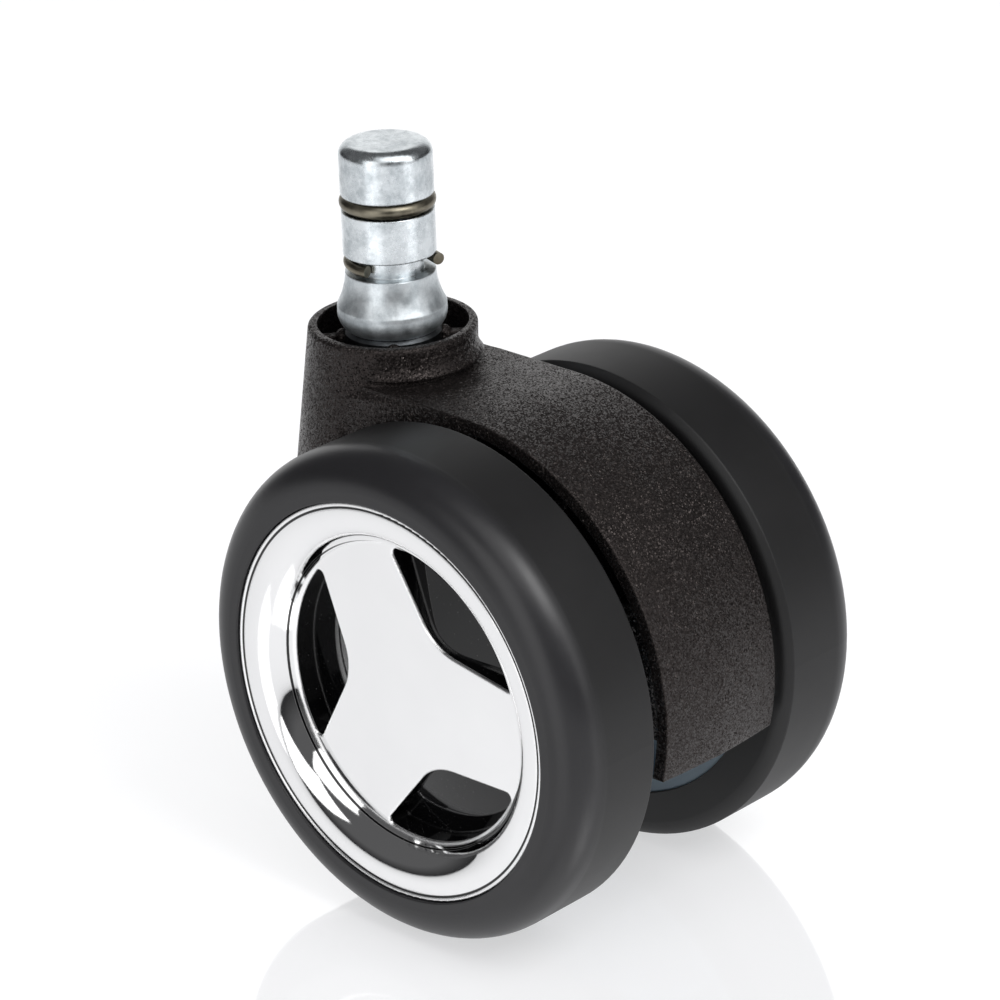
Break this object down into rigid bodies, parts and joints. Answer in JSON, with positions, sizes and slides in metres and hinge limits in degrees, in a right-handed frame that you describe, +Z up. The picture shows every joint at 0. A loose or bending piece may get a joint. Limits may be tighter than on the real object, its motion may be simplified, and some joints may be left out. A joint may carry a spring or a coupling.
{
  "type": "chair castor",
  "caption": "Swivelling twin-wheel furniture castor with a grip-ring stem, a black hood, soft black treads and chromed spoked wheel caps.",
  "frame": {"origin": "on the stem's axis, at the foot of the stem's plain grip length, just above its lower grip ring", "axes": "+Z up along the stem, toward the chair base; +X from the stem to the trailing axle; +Y along the axle, toward the right wheel"},
  "size_m": [0.0643, 0.0496, 0.0868],
  "materials": {
    "zinc_steel": "bright zinc plate with light scuffs",
    "spring_steel": "oiled spring wire, slightly bronze",
    "sleeve_steel": "plain drawn steel",
    "axle_steel": "ground steel",
    "black_nylon": "black nylon with a fine spark texture",
    "core_plastic": "blue-grey moulded plastic",
    "soft_tread": "soft black polyurethane, satin",
    "chrome_plate": "mirror chrome plate on plastic"
  },
  "bodies": {
    "stem": {"stem": "zinc_steel", "upper_grip_ring": "spring_steel", "lower_grip_ring": "spring_steel", "stem_clip": "spring_steel"},
    "hood": {"hood": "black_nylon", "stem_sleeve": "sleeve_steel", "axle": "axle_steel", "axle_clips": "spring_steel"},
    "left_wheel": {"left_wheel_core": "core_plastic", "left_tyre": "soft_tread", "left_cap": "chrome_plate"},
    "right_wheel": {"right_wheel_core": "core_plastic", "right_tyre": "soft_tread", "right_cap": "chrome_plate"}
  },
  "joints": [
    {"name": "swivel", "type": "hinge", "parent": "stem", "child": "hood", "pos_m": [0, 0, 0], "axis": [0, 0, 1], "continuous": true},
    {"name": "left_wheel_spin", "type": "hinge", "parent": "hood", "child": "left_wheel", "pos_m": [0.02085, -0.0185, -0.0434], "axis": [0, 1, 0], "continuous": true},
    {"name": "right_wheel_spin", "type": "hinge", "parent": "hood", "child": "right_wheel", "pos_m": [0.02085, 0.0185, -0.0434], "axis": [0, 1, 0], "continuous": true}
  ]
}
